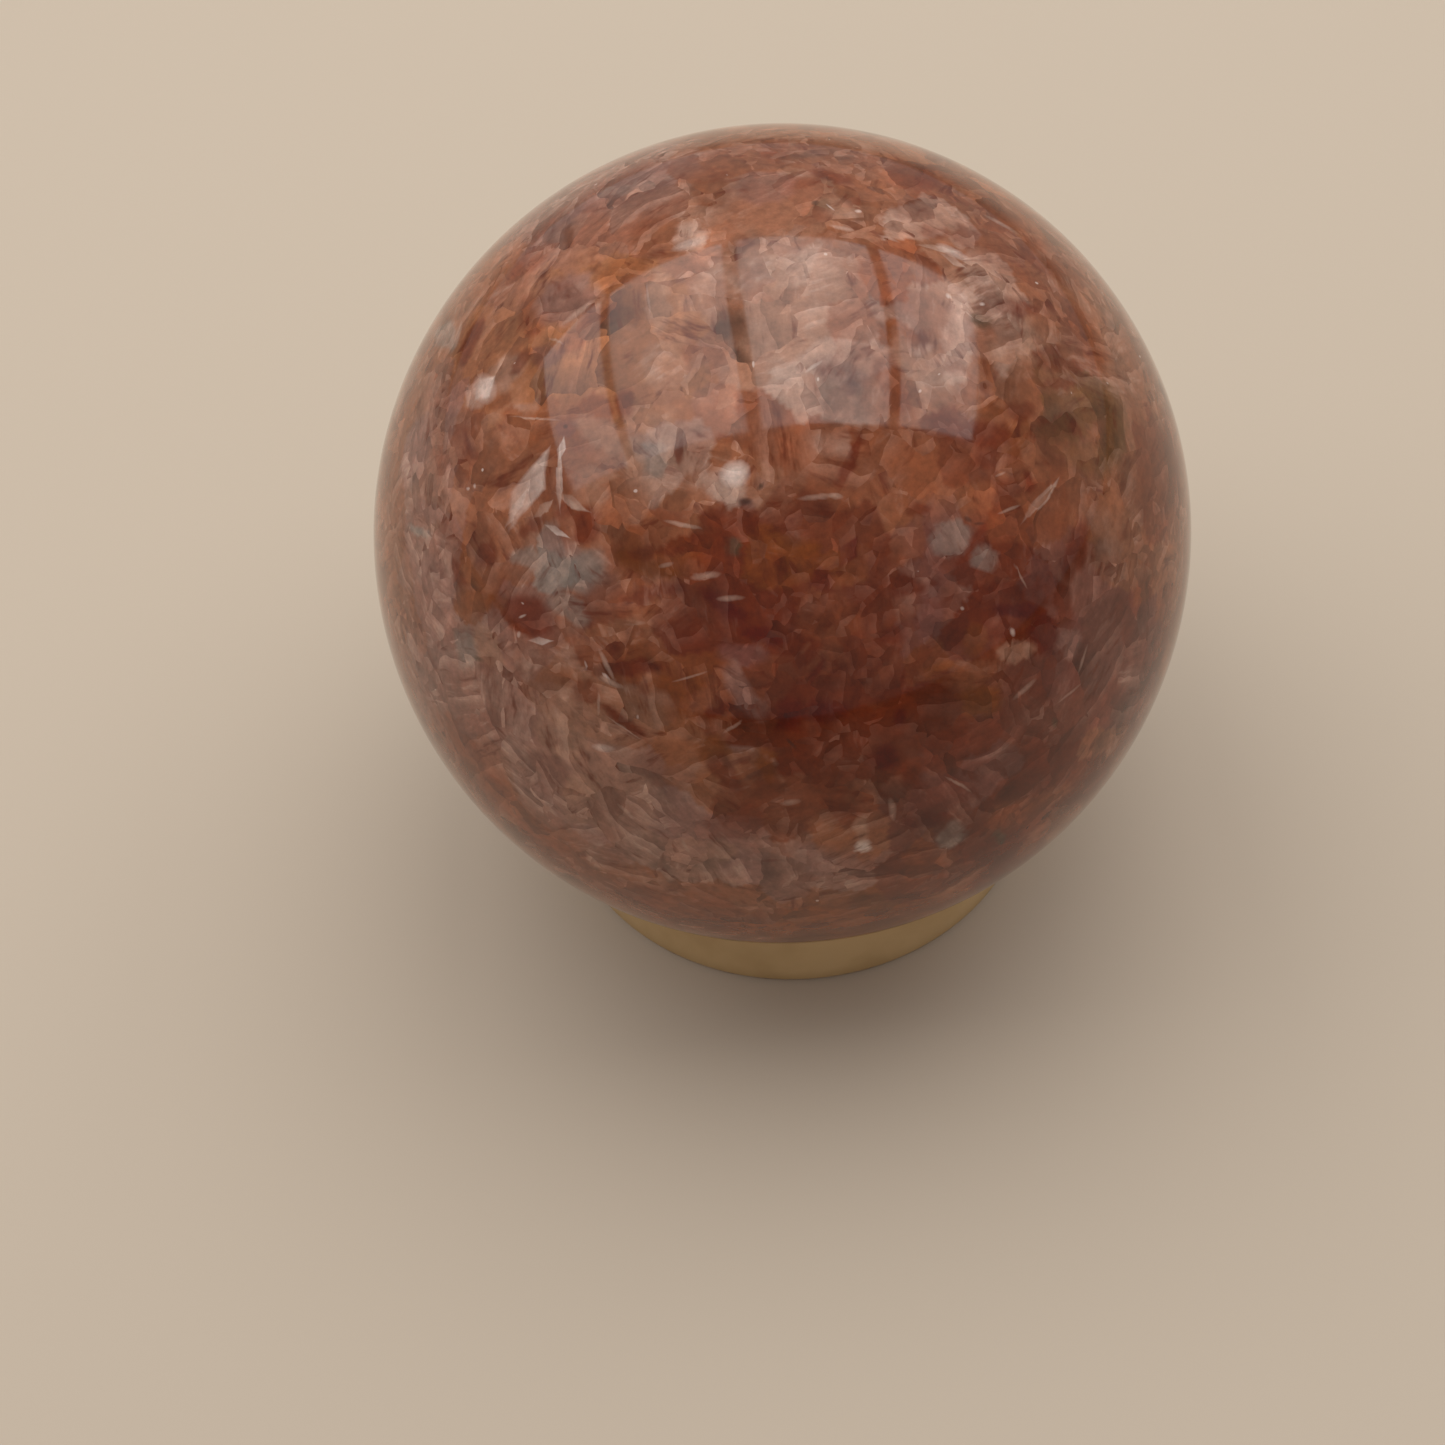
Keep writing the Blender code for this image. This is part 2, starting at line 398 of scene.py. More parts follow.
# Blobs and spots that lie over the grains, in the same words and order.
STONE_BLOBS = [
    ("feather", 476, 396, 20, 24, 0, 0.6),
    ("moss", 820, 205, 18, 12, 0, 0.4),
    ("moss", 981, 321, 24, 13, -15, 0.8),
    ("feather", 922, 348, 18, 12, 40, 0.5),
    ("feather", 955, 378, 22, 12, 20, 0.6),
    ("orange", 815, 422, 15, 12, 10, 0.9),
    ("mauve", 566, 429, 18, 16, 0, 0.5),
    ("ash", 419, 531, 22, 9, -20, 0.9),
    ("feather", 724, 486, 38, 28, 0, 0.6),
    ("feather", 735, 500, 20, 11, 10, 0.6),
    ("plum", 746, 502, 15, 10, 0, 0.8),
    ("moss", 733, 545, 17, 18, 0, 0.7),
    ("white", 864, 846, 15, 12, 10, 0.9),
    ("pale", 861, 830, 14, 26, 0, 0.6),
    ("moss", 1000, 838, 10, 15, 20, 0.6),
]

# Cleaved faces with straight sides, in the same words and order. The white, pale and feather ones are
# painted highlights, light caught by cleavage planes inside the stone; the salmon, rust and garnet ones are
# the stone's own colour.
STONE_FACETS_AND_HIGHLIGHTS = [
    ("white", 527, 490, 62, 26, 50, 0.75),
    ("white", 516, 508, 34, 9, 52, 0.5),
    ("pale", 592, 476, 36, 24, -22, 0.6),
    ("white", 561, 449, 17, 8, 62, 0.8),
    ("white", 559, 478, 50, 6, 86, 0.7),
    ("feather", 571, 502, 26, 12, -46, 0.85),
    ("feather", 543, 509, 17, 11, 20, 0.7),
    ("white", 556, 531, 20, 7, -40, 0.8),
    ("white", 484, 388, 17, 22, 10, 0.8),
    ("white", 540, 641, 17, 8, -20, 0.8),
    ("feather", 797, 266, 38, 44, 8, 0.55),
    ("pale", 690, 300, 50, 36, 35, 0.4),
    ("feather", 938, 248, 30, 6, -16, 0.9),
    ("feather", 953, 260, 22, 7, -42, 0.9),
    ("feather", 1041, 500, 42, 11, 43, 0.9),
    ("salmon", 1041, 501, 28, 5, 43, 0.9),
    ("garnet", 848, 553, 26, 19, 38, 0.9),
    ("rust", 850, 462, 52, 12, 62, 0.7),
]

# Thin bright flakes and dark specks, in the same words and order. The white ones are painted glints, light
# caught by small flakes and platelets; the feather ones are pale veils in the stone.
STONE_FLAKES_AND_GLINTS = [
    ("feather", 728, 488, 42, 36, 0, 1.0),
    ("white", 735, 474, 36, 29, 20, 1.4),
    ("ink", 746, 502, 17, 10, 0, 0.9),
    ("ink", 761, 487, 12, 5, 66, 0.9),
    ("white", 484, 388, 26, 34, 10, 0.8),
    ("white", 690, 243, 44, 10, 20, 0.6),
    ("white", 953, 252, 40, 10, -25, 0.8),
    ("feather", 458, 334, 28, 5, 76, 0.8),
    ("feather", 556, 341, 18, 4, -10, 0.7),
    ("ink", 816, 203, 9, 6, 0, 0.9),
    ("white", 831, 207, 13, 2, -36, 0.9),
    ("white", 858, 211, 9, 4, -5, 0.9),
    ("feather", 842, 228, 28, 5, -12, 0.8),
    ("feather", 890, 238, 26, 3, -20, 0.7),
    ("white", 949, 296, 8, 5, -48, 1.0),
    ("white", 983, 304, 6, 5, -20, 1.0),
    ("feather", 1002, 224, 44, 4, -30, 0.7),
    ("white", 814, 366, 22, 4, 33, 0.7),
    ("ink", 565, 427, 6, 6, 0, 0.9),
    ("feather", 534, 418, 54, 3, -4, 0.8),
    ("feather", 573, 505, 20, 6, -42, 0.8),
    ("white", 468, 488, 4, 5, 0, 0.9),
    ("white", 475, 486, 3, 6, 0, 0.7),
    ("white", 522, 616, 10, 3, 20, 0.8),
    ("white", 518, 634, 4, 8, 0, 0.7),
    ("moss", 478, 659, 15, 6, -25, 0.8),
    ("feather", 683, 525, 42, 6, -12, 0.9),
    ("feather", 607, 665, 40, 6, -62, 0.9),
    ("white", 606, 676, 12, 4, -40, 0.8),
    ("feather", 598, 704, 4, 26, 0, 0.7),
    ("feather", 624, 728, 50, 2, -34, 0.8),
    ("white", 586, 665, 3, 10, 20, 0.7),
    ("feather", 690, 677, 40, 3, 18, 0.7),
    ("white", 638, 717, 3, 5, 0, 0.7),
    ("plum", 770, 861, 24, 4, 4, 0.8),
    ("plum", 757, 887, 14, 4, -20, 0.8),
    ("feather", 733, 727, 26, 5, 35, 0.7),
    ("ink", 791, 744, 16, 5, -46, 0.8),
    ("ink", 968, 520, 12, 6, -30, 0.8),
    ("ink", 980, 524, 14, 4, 0, 0.7),
    ("feather", 1009, 509, 26, 4, 20, 0.9),
    ("feather", 1001, 475, 12, 3, 20, 0.7),
    ("white", 1013, 632, 6, 11, 15, 0.8),
    ("white", 962, 608, 5, 4, -30, 0.8),
    ("feather", 959, 785, 34, 4, -28, 0.8),
    ("feather", 578, 312, 46, 7, 38, 0.8),
    ("feather", 968, 290, 20, 8, -45, 0.6),
    ("feather", 706, 576, 34, 9, 6, 0.7),
    ("feather", 730, 598, 30, 7, 4, 0.7),
    ("feather", 818, 497, 44, 7, 5, 0.6),
    ("feather", 836, 497, 16, 7, -10, 0.7),
    ("feather", 611, 682, 28, 7, -30, 0.9),
    ("white", 603, 748, 26, 9, -6, 0.7),
    ("feather", 790, 803, 26, 7, 6, 0.6),
    ("feather", 893, 810, 9, 26, 8, 0.6),
    ("plum", 1048, 567, 10, 9, 0, 0.8),
    ("moss", 1055, 723, 8, 13, 0, 0.8),
    ("feather", 649, 298, 3, 36, 5, 0.6),
    ("feather", 666, 565, 18, 6, 12, 0.6),
    ("feather", 626, 812, 26, 4, -44, 0.6),
    ("feather", 685, 846, 18, 5, -58, 0.6),
    ("feather", 1021, 577, 32, 3, -62, 0.6),
    ("feather", 1083, 660, 34, 3, 70, 0.6),
    ("feather", 1070, 693, 34, 3, 40, 0.6),
    ("feather", 1025, 690, 34, 6, 42, 0.6),
]

# What the side that the picture does not show is made of, and how much of each.
HIDDEN_COLOURS = {
    "peach": 3, "salmon": 4, "orange": 3, "rust": 3, "garnet": 1, "lilac": 3, "pale": 3, "mauve": 2,
    "amber": 2, "plum": 1, "olive": 0.5, "ash": 0.6, "feather": 0.8,
}
HIDDEN_AREAS = 90
HIDDEN_GRAINS = 520
HIDDEN_SPECKS = 60
HIDDEN_SEED = 11
SPLIT_SEED = 4


def wire(tree, kind, inputs, **settings):
    """Add a node, set it up, and feed its sockets with values or with other nodes."""
    item = tree.nodes.new(kind)
    for name, value in settings.items():
        setattr(item, name, value)
    for socket, value in dict(inputs).items():
        if isinstance(value, bpy.types.NodeSocket):
            tree.links.new(value, item.inputs[socket])
        else:
            item.inputs[socket].default_value = value
    return item


def number(tree, operation, *values):
    """Work out a single value from others."""
    return wire(tree, "ShaderNodeMath", enumerate(values), operation=operation).outputs[0]


def place(tree, operation, *values):
    """Work out a place from other places."""
    return wire(tree, "ShaderNodeVectorMath", enumerate(values), operation=operation).outputs["Vector"]


def scaled(tree, vector, factor):
    """Stretch a place by one factor."""
    return wire(tree, "ShaderNodeVectorMath", {0: vector, 3: factor}, operation="SCALE").outputs["Vector"]


def dot(tree, first, second):
    """How far one place reaches along another."""
    inputs = {0: first, 1: second}
    return wire(tree, "ShaderNodeVectorMath", inputs, operation="DOT_PRODUCT").outputs["Value"]


def ramp(tree, value, low, high, bottom=0.0, top=1.0):
    """Rise softly from bottom to top as the value goes from low to high."""
    inputs = {0: value, 1: low, 2: high, 3: bottom, 4: top}
    return wire(tree, "ShaderNodeMapRange", inputs, interpolation_type="SMOOTHSTEP", clamp=False).outputs[0]


def cloud(tree, vector, scale, detail, roughness=0.5):
    """Cloudy noise, as a node with a value and a colour."""
    inputs = {"Vector": vector, "Scale": scale, "Detail": detail, "Roughness": roughness}
    return wire(tree, "ShaderNodeTexNoise", inputs)


def cells(tree, vector, scale, **settings):
    """Angular cells, as a node with a distance, a colour and a place."""
    return wire(tree, "ShaderNodeTexVoronoi", {"Vector": vector, "Scale": scale}, **settings)


def coloured(tree, share, under, over):
    """Lay one colour over another."""
    inputs = {0: share, 6: under, 7: over}
    return wire(tree, "ShaderNodeMix", inputs, data_type="RGBA").outputs[2]


def toned(tree, colour, tone):
    """Lighten or darken a colour."""
    return wire(tree, "ShaderNodeHueSaturation", {"Color": colour, "Value": tone}).outputs[0]


def parts(tree, colour):
    """The three numbers of a colour."""
    return wire(tree, "ShaderNodeSeparateColor", {0: colour}).outputs


def as_place(tree, colour):
    """A colour taken as a place."""
    return wire(tree, "ShaderNodeCombineXYZ", enumerate(parts(tree, colour))).outputs[0]


def between(tree, share, first, second):
    """Go from one place to another."""
    inputs = {0: share, 4: first, 5: second}
    return wire(tree, "ShaderNodeMix", inputs, data_type="VECTOR").outputs[1]


def paint(name):
    """A colour of the stone, as a socket takes it."""
    return (*STONE_COLOURS[name], 1.0)


def spot_on_ball(x, y):
    """The point of the ball that shows at a pixel, from the ball's middle and in radii."""
    across = (x - PHOTO_SIZE / 2) / FOCAL_PIXELS
    up = (PHOTO_SIZE / 2 - y) / FOCAL_PIXELS
    direction = (camera.matrix_world.to_3x3() @ Vector((across, up, -1.0))).normalized()
    start = CAMERA_PLACE - ball_middle
    nearest = start.dot(direction)
    reach = max(nearest**2 - start.length_squared + ball_radius**2, 0.0)
    return (start - direction * (nearest + math.sqrt(reach))) / ball_radius


def patch_axes(x, y, length, width, angle):
    """The middle of a patch and its two axes, for a patch given in pixels of the picture."""
    turn = math.radians(angle)
    middle = spot_on_ball(x, y)
    along_x = math.cos(turn) * length / 4
    along_y = -math.sin(turn) * length / 4
    across_x = math.sin(turn) * width / 4
    across_y = math.cos(turn) * width / 4
    along = spot_on_ball(x + along_x, y + along_y) - spot_on_ball(x - along_x, y - along_y)
    across = spot_on_ball(x + across_x, y + across_y) - spot_on_ball(x - across_x, y - across_y)
    upright = along.cross(across)
    volume = upright.length_squared
    return middle, across.cross(upright) / volume, upright.cross(along) / volume


def lay_patch(spots, ground, middle, along, across, name, strength, angular):
    """Paint one patch over the colours so far, cleaved straight or softly round."""
    away = spots - np.array(middle)
    along = away @ np.array(along)
    across = away @ np.array(across)
    if angular:
        along = np.abs(along)
        across = np.abs(across)
        reach = np.maximum(np.maximum(along, across), (along + across) * 0.66)
        mask = (1.0 - reach) * 2.0 + 0.35
    else:
        mask = (1.0 - along**2 - across**2) * 1.6
    mask = np.clip(mask, 0.0, strength) * (spots @ np.array(middle) > 0.0)
    ground += mask[:, None] * (np.array(STONE_COLOURS[name]) - ground)


def lay_patches(spots, ground, patches, angular):
    """Paint a list of patches that are given in pixels of the picture."""
    for name, x, y, length, width, angle, strength in patches:
        middle, along, across = patch_axes(x, y, length, width, angle)
        lay_patch(spots, ground, middle, along, across, name, strength, angular)


def scatter_patches(spots, ground, count, sizes, strengths, names, angular):
    """Paint patches at random over the side that the picture does not show."""
    weights = [HIDDEN_COLOURS.get(name, 1.0) for name in names]
    placed = 0
    while placed < count:
        middle = Vector([chance.gauss(0.0, 1.0) for _ in range(3)]).normalized()
        if middle.dot(towards_view) > 0.16:
            continue
        along = middle.orthogonal().normalized()
        along.rotate(Quaternion(middle, chance.uniform(0.0, math.pi)))
        across = middle.cross(along)
        length = chance.uniform(*sizes)
        width = length * chance.uniform(0.35, 0.9)
        name = chance.choices(names, weights)[0]
        strength = chance.uniform(*strengths)
        lay_patch(spots, ground, middle, along / length, across / width, name, strength, angular)
        placed += 1


def scatter_tones(spots, ground, count, sizes, depth):
    """Lighten or darken small cleaved patches at random, all round the ball."""
    for _ in range(count):
        middle = Vector([chance.gauss(0.0, 1.0) for _ in range(3)]).normalized()
        along = middle.orthogonal().normalized()
        along.rotate(Quaternion(middle, chance.uniform(0.0, math.pi)))
        across = np.array(middle.cross(along))
        length = chance.uniform(*sizes)
        width = length * chance.uniform(0.25, 0.8)
        away = spots - np.array(middle)
        along = away @ np.array(along) / length
        across = away @ across / width
        reach = np.maximum(np.maximum(np.abs(along), np.abs(across)), np.abs(along + across) * 0.7)
        mask = np.clip((1.0 - reach) * 2.5, 0.0, 1.0) * (0.6 + 0.4 * np.clip(across, -1.0, 1.0))
        mask *= spots @ np.array(middle) > 0.0
        ground *= 1.0 + chance.uniform(-depth, depth) * mask[:, None]


# The ball itself, finer on the side that the picture shows
bpy.ops.object.select_all(action="DESELECT")
bpy.ops.mesh.primitive_ico_sphere_add(subdivisions=7, radius=ball_radius, location=ball_middle)
ball = bpy.context.object
ball.name = "polished_ball"
bpy.ops.object.transform_apply(location=True, rotation=True, scale=True)
towards_view = (CAMERA_PLACE - ball_middle).normalized()
bpy.ops.object.mode_set(mode="EDIT")
bpy.ops.mesh.select_all(action="DESELECT")
bpy.ops.object.mode_set(mode="OBJECT")
for face in ball.data.polygons:
    face.select = face.normal.dot(towards_view) > 0.14
bpy.ops.object.mode_set(mode="EDIT")
bpy.ops.mesh.subdivide(number_cuts=1)
bpy.ops.object.mode_set(mode="OBJECT")
ball_mesh = ball.data
ball_mesh.name = "polished_ball"
corners = np.empty(len(ball_mesh.vertices) * 3)
ball_mesh.vertices.foreach_get("co", corners)
directions = corners.reshape(-1, 3) - np.array(ball_middle)
directions /= np.linalg.norm(directions, axis=1)[:, None]
ball_mesh.vertices.foreach_set("co", (directions * ball_radius + np.array(ball_middle)).ravel())

# The colours of its grains, painted on its surface
noise.seed_set(SPLIT_SEED)
splits = []
frays = []
for direction in directions:
    spot = Vector(direction)
    bend = noise.noise_vector(spot * 1.8) * 0.10 + noise.turbulence_vector(spot * 6.0, 3, False) * 0.025
    points = noise.voronoi((spot + bend) * 11.0, distance_metric="DISTANCE")[1]
    splits.append(points[0] / 11.0 - spot - bend)
    frays.append(noise.turbulence_vector(spot * 22.0, 2, False))
splits = np.array(splits)
frays = np.array(frays)
grain_colours = np.empty((len(directions), 3))
grain_colours[:] = STONE_COLOURS["salmon"]
area_spots = directions + splits * 0.8
grain_spots = directions + splits * 0.12 + frays * 0.012
blob_spots = directions + frays * 0.008
chance = random.Random(HIDDEN_SEED)
names = list(HIDDEN_COLOURS)
scatter_patches(area_spots, grain_colours, HIDDEN_AREAS, (0.12, 0.42), (0.5, 0.9), names, False)
scatter_patches(grain_spots, grain_colours, HIDDEN_GRAINS, (0.018, 0.085), (0.4, 0.9), names, True)
# The white specks here are painted glints, like the white flakes on the shown side
specks = ["ink", "moss", "white"]
scatter_patches(blob_spots, grain_colours, HIDDEN_SPECKS, (0.006, 0.02), (0.6, 0.95), specks, True)
lay_patches(area_spots, grain_colours, STONE_AREAS, False)
lay_patches(grain_spots, grain_colours, STONE_GRAINS, True)
scatter_tones(grain_spots, grain_colours, 1400, (0.02, 0.09), 0.34)
lay_patches(blob_spots, grain_colours, STONE_BLOBS, True)
painted = ball_mesh.color_attributes.new("grain_colours", "FLOAT_COLOR", "POINT")
painted.data.foreach_set("color", np.hstack([grain_colours, np.ones((len(directions), 1))]).ravel())

lap_texture = bpy.data.textures.new("lap_waves", "CLOUDS")
lap_texture.noise_scale = LAP_WAVE
lap = ball.modifiers.new("Lapped", "DISPLACE")
lap.texture = lap_texture
lap.texture_coords = "LOCAL"
lap.mid_level = 0.0
lap.strength = -LAP_DEPTH
bpy.ops.object.modifier_apply(modifier=lap.name)
bpy.ops.object.shade_smooth()

# One thin flake, speck or painted glint, as a mask in the shape of a lens
flake_and_glint_group = bpy.data.node_groups.new("thin_flake_and_glint", "ShaderNodeTree")
for socket_name in ("Place", "Middle", "Along", "Across"):
    flake_and_glint_group.interface.new_socket(socket_name, in_out="INPUT", socket_type="NodeSocketVector")
flake_and_glint_group.interface.new_socket("Strength", in_out="INPUT", socket_type="NodeSocketFloat")
flake_and_glint_group.interface.new_socket("Mask", in_out="OUTPUT", socket_type="NodeSocketFloat")
given = flake_and_glint_group.nodes.new("NodeGroupInput").outputs
away = place(flake_and_glint_group, "SUBTRACT", given["Place"], given["Middle"])
along = dot(flake_and_glint_group, away, given["Along"])
across = dot(flake_and_glint_group, away, given["Across"])
reach = number(flake_and_glint_group, "MULTIPLY_ADD", across, across, number(flake_and_glint_group, "MULTIPLY", along, along))
inside = number(flake_and_glint_group, "MAXIMUM", number(flake_and_glint_group, "MULTIPLY_ADD", reach, -1.0, 1.0), 0.0)
mask = number(flake_and_glint_group, "MULTIPLY", inside, given["Strength"])
flake_and_glint_result = flake_and_glint_group.nodes.new("NodeGroupOutput")
flake_and_glint_group.links.new(mask, flake_and_glint_result.inputs["Mask"])

# One cleaved face, as a mask with four straight sides that grows stronger towards one end, mostly for the
# painted highlights of light caught by the faces
facet_and_highlight_group = bpy.data.node_groups.new("cleaved_face_and_highlight", "ShaderNodeTree")
for socket_name in ("Place", "Middle", "Along", "Across"):
    facet_and_highlight_group.interface.new_socket(socket_name, in_out="INPUT", socket_type="NodeSocketVector")
facet_and_highlight_group.interface.new_socket("Strength", in_out="INPUT", socket_type="NodeSocketFloat")
facet_and_highlight_group.interface.new_socket("Mask", in_out="OUTPUT", socket_type="NodeSocketFloat")
given = facet_and_highlight_group.nodes.new("NodeGroupInput").outputs
away = place(facet_and_highlight_group, "SUBTRACT", given["Place"], given["Middle"])
across = dot(facet_and_highlight_group, away, given["Across"])
lean = number(facet_and_highlight_group, "MULTIPLY_ADD", across, 0.6, dot(facet_and_highlight_group, away, given["Along"]))
wide = number(facet_and_highlight_group, "ABSOLUTE", across)
reach = number(facet_and_highlight_group, "MAXIMUM", number(facet_and_highlight_group, "ABSOLUTE", lean), wide)
inside = number(facet_and_highlight_group, "MINIMUM", number(facet_and_highlight_group, "MULTIPLY_ADD", reach, -4.0, 4.0), 1.0)
inside = number(facet_and_highlight_group, "MAXIMUM", inside, 0.0)
shade = number(facet_and_highlight_group, "MULTIPLY_ADD", lean, 0.35, 0.65)
mask = number(facet_and_highlight_group, "MULTIPLY", number(facet_and_highlight_group, "MULTIPLY", inside, shade), given["Strength"])
facet_and_highlight_result = facet_and_highlight_group.nodes.new("NodeGroupOutput")
facet_and_highlight_group.links.new(mask, facet_and_highlight_result.inputs["Mask"])


def lay_marks(tree, group, ground, spot, marks, share):
    """Lay a list of marks over a ground colour, each mixed in by its own mask."""
    for name, x, y, length, width, angle, strength in marks:
        middle, along, across = patch_axes(x, y, length, width, angle)
        mark = tree.nodes.new("ShaderNodeGroup")
        mark.node_tree = group
        tree.links.new(spot, mark.inputs["Place"])
        mark.inputs["Middle"].default_value = middle
        mark.inputs["Along"].default_value = along
        mark.inputs["Across"].default_value = across
        mark.inputs["Strength"].default_value = strength * share
        ground = coloured(tree, mark.outputs["Mask"], ground, paint(name))
    return ground


stone_material = bpy.data.materials.new("polished_sunstone")
stone_material.use_nodes = True
stone = stone_material.node_tree
stone_shader = stone.nodes["Principled BSDF"]

grain_colour = wire(stone, "ShaderNodeAttribute", {}, attribute_name="grain_colours").outputs["Color"]
object_place = stone.nodes.new("ShaderNodeTexCoord").outputs["Object"]
to_radii = {"Vector": object_place, "Location": -ball_middle / ball_radius, "Scale": (1 / ball_radius,) * 3}
unit = wire(stone, "ShaderNodeMapping", to_radii).outputs[0]
GREY = (0.5, 0.5, 0.5)
bends = as_place(stone, cloud(stone, unit, 1.6, 2.0).outputs["Color"])
bends = scaled(stone, place(stone, "SUBTRACT", bends, GREY), 0.30)
ragged = as_place(stone, cloud(stone, unit, 13.0, 2.0).outputs["Color"])
ragged = scaled(stone, place(stone, "SUBTRACT", ragged, GREY), 0.045)
bent = place(stone, "ADD", place(stone, "ADD", unit, bends), ragged)

# Grains of two sizes, the larger ones blocky, with borders that are sharp or milky
BLOCK_TURN = (0.6, 0.35, 1.1)
veil_cloud = cloud(stone, bent, 5.0, 3.0, 0.65).outputs[0]
block_turn = {"Vector": bent, "Rotation": BLOCK_TURN}
turned = wire(stone, "ShaderNodeVectorRotate", block_turn, rotation_type="EULER_XYZ")
blocky = cells(stone, turned.outputs[0], 7.5, distance="CHEBYCHEV")
back = {"Vector": blocky.outputs["Position"], "Rotation": BLOCK_TURN}
turned_back = wire(stone, "ShaderNodeVectorRotate", back, rotation_type="EULER_XYZ", invert=True)
blocky_place = turned_back.outputs[0]
small = cells(stone, bent, 21.0)
small_parts = parts(stone, small.outputs["Color"])
is_small = number(stone, "GREATER_THAN", parts(stone, blocky.outputs["Color"])[0], 0.60)
cell = between(stone, is_small, blocky_place, small.outputs["Position"])
tint = coloured(stone, is_small, blocky.outputs["Color"], small.outputs["Color"])
to_cell = place(stone, "SUBTRACT", cell, bent)
tint_parts = parts(stone, tint)
tint_place = wire(stone, "ShaderNodeCombineXYZ", enumerate(tint_parts)).outputs[0]
further = number(stone, "SUBTRACT", small.outputs["Distance"], blocky.outputs["Distance"])
reach = number(stone, "MULTIPLY_ADD", is_small, further, blocky.outputs["Distance"])
sharp = ramp(stone, veil_cloud, 0.40, 0.60, 0.9, 0.15)
fade = ramp(stone, reach, 0.55, 0.22, sharp, 1.0)

# Veils, wisps and the fibrous grain of the feldspar, each a mask
split = place(stone, "ADD", unit, scaled(stone, to_cell, 0.3))
fibre_turn = {"Vector": split, "Axis": tint_place, "Angle": number(stone, "MULTIPLY", tint_parts[0], 6.0)}
fibre_spot = wire(stone, "ShaderNodeVectorRotate", fibre_turn, rotation_type="AXIS_ANGLE").outputs[0]
fibre = cloud(stone, place(stone, "MULTIPLY", fibre_spot, (42.0, 9.0, 9.0)), 1.0, 3.0, 0.72).outputs[0]
own_turn = place(stone, "SUBTRACT", tint_place, GREY)
fray = scaled(stone, own_turn, number(stone, "MULTIPLY_ADD", fibre, 0.04, -0.02))
painted_parts = parts(stone, grain_colour)
milky = number(stone, "MINIMUM", number(stone, "MULTIPLY_ADD", painted_parts[2], 7.5, 0.06), 1.0)
veil = number(stone, "MULTIPLY", ramp(stone, veil_cloud, 0.50, 0.72, 0.0, 0.55), milky)
veil = number(stone, "MULTIPLY", veil, ramp(stone, fibre, 0.35, 0.62, 0.15, 1.0))
wisp = ramp(stone, fibre, 0.57, 0.70, 0.0, 0.8)
wisp = number(stone, "MULTIPLY", wisp, number(stone, "ADD", milky, 0.06))
milky_tint = number(stone, "MULTIPLY", milky, ramp(stone, tint_parts[1], 0.25, 0.02, 0.0, 0.35))
milky_tint = number(stone, "MULTIPLY", milky_tint, fade)
wisp = number(stone, "MULTIPLY", wisp, ramp(stone, veil_cloud, 0.40, 0.62, 0.15, 0.75))
depth = ramp(stone, fibre, 0.46, 0.28, 0.0, 0.75)
wave = {"Vector": fibre_spot, "Scale": 5.0, "Distortion": 4.5, "Detail": 3.0, "Detail Scale": 1.3}
steps = wire(stone, "ShaderNodeTexWave", wave, wave_profile="SAW").outputs["Fac"]
edges = ramp(stone, steps, 0.55, 1.0, 0.0, 0.45)
edges = number(stone, "MULTIPLY", edges, number(stone, "ADD", milky, 0.08))
edges = number(stone, "MULTIPLY", edges, ramp(stone, veil_cloud, 0.36, 0.60, 0.1, 1.0))
mottle = number(stone, "MULTIPLY_ADD", cloud(stone, unit, 38.0, 3.0, 0.76).outputs[0], 1.0, 0.50)
mottle = number(stone, "MULTIPLY", mottle, number(stone, "MULTIPLY_ADD", fibre, 0.7, 0.65))
mottle = number(stone, "MULTIPLY", mottle, number(stone, "MULTIPLY_ADD", steps, 0.24, 0.86))
slope = number(stone, "MULTIPLY", dot(stone, to_cell, own_turn), 9.0)
tone = number(stone, "ADD", number(stone, "MULTIPLY_ADD", tint_parts[0], 0.26, -0.13), slope)
tone = number(stone, "MULTIPLY_ADD", tone, fade, 0.98)
rusty = number(stone, "MULTIPLY", ramp(stone, tint_parts[1], 0.70, 0.95, 0.0, 0.38), fade)

# Where the thin flakes, the painted glints and the painted highlights of the faces are read: the side that
# the picture does not show is set aside
hidden = number(stone, "LESS_THAN", dot(stone, unit, towards_view), -0.05)
shown = place(stone, "ADD", place(stone, "ADD", unit, scaled(stone, (9.0, 9.0, 9.0), hidden)), fray)
flake_spot = place(stone, "ADD", shown, scaled(stone, ragged, 0.22))

# Each grain has its own tone, which fades out at its borders where the stone is milky
colour = toned(stone, grain_colour, tone)
colour = coloured(stone, rusty, colour, paint("rust"))
colour = coloured(stone, milky_tint, colour, paint("lilac"))
colour = coloured(stone, depth, colour, paint("rust"))
colour = coloured(stone, veil, colour, paint("feather"))
colour = coloured(stone, wisp, colour, paint("feather"))
colour = coloured(stone, edges, colour, paint("feather"))
# Painted highlights: light caught by the cleaved faces, laid into the colour
colour = lay_marks(stone, facet_and_highlight_group, colour, flake_spot, STONE_FACETS_AND_HIGHLIGHTS, 0.9)
# Thin feathers and dark specks, and painted glints where small flakes catch the light
colour = lay_marks(stone, flake_and_glint_group, colour, flake_spot, STONE_FLAKES_AND_GLINTS, 0.7)
colour = toned(stone, colour, mottle)
# Painted glints: a few tiny cells turned white all over the ball, as sparkles of light off the platelets
glint = ramp(stone, small.outputs["Distance"], 0.10, 0.05, 0.0, 0.7)
glint = number(stone, "MULTIPLY", glint, number(stone, "GREATER_THAN", small_parts[2], 0.95))
colour = coloured(stone, glint, colour, paint("white"))
stone.links.new(colour, stone_shader.inputs["Base Color"])

